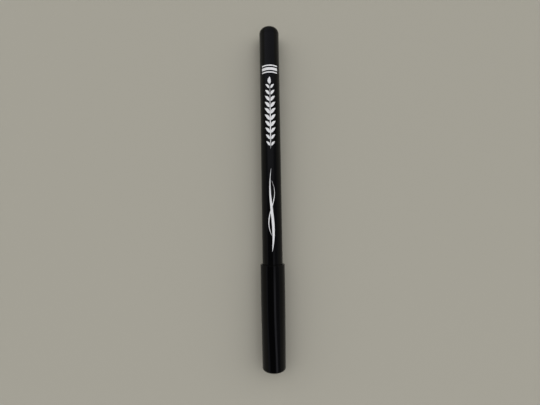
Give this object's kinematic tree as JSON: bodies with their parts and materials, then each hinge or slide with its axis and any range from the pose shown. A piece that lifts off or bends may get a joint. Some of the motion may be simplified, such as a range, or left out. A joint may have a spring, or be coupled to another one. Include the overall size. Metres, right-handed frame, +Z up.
{
  "type": "liquid eyeliner pen",
  "caption": "Slim capped cosmetic pen: ink barrel with tail plug and mixing ball, finned collector, wick, nose and fine nib, and a pull-off cap with a sprung inner cap.",
  "frame": {"origin": "centre of the bottom of the bounding box, under the middle of the pen's length, where the cap's mouth rests", "axes": "+Y along the pen toward its tail, +Z up, the pen lying on its side with the cap on"},
  "size_m": [0.0098, 0.138, 0.0097],
  "materials": {
    "barrel_lacquer": null,
    "print_white": "white screen print",
    "plug_plastic": "satin black moulding",
    "cap_plastic": "glossy black moulding",
    "section_plastic": "glossy black moulding",
    "inner_cap_plastic": "natural translucent white moulding",
    "collector_plastic": "natural ivory moulding",
    "wick_fibre": "ink-soaked fibre rod",
    "nib_fibre": "ink-soaked fine fibre",
    "seal_rubber": "black rubber",
    "steel": "bright stainless"
  },
  "bodies": {
    "pen": {"barrel": "barrel_lacquer", "tail_plug": "plug_plastic", "collector": "collector_plastic", "feed_wick": "wick_fibre", "front_section": "section_plastic", "section_seal_ring": "seal_rubber", "nib": "nib_fibre"},
    "cap": {"cap_shell": "cap_plastic", "inner_cap_spring": "steel"},
    "sealing_cap": {"inner_cap": "inner_cap_plastic"},
    "ball": {"mixing_ball": "steel"}
  },
  "joints": [
    {"name": "cap_pull", "type": "slide", "parent": "pen", "child": "cap", "axis": [0, -1, 0], "range_m": [0, 0.045]},
    {"name": "inner_cap_travel", "type": "slide", "parent": "cap", "child": "sealing_cap", "axis": [0, 1, 0], "range_m": [0, 0.0016], "deforming": ["inner_cap_spring"]},
    {"name": "ball_slide", "type": "slide", "parent": "pen", "child": "ball", "axis": [0, -1, 0], "range_m": [-0.0185, 0.046]}
  ],
  "couplings": [
    {"joint": "inner_cap_travel", "follows": "cap_pull", "ratio": 0.0355}
  ]
}
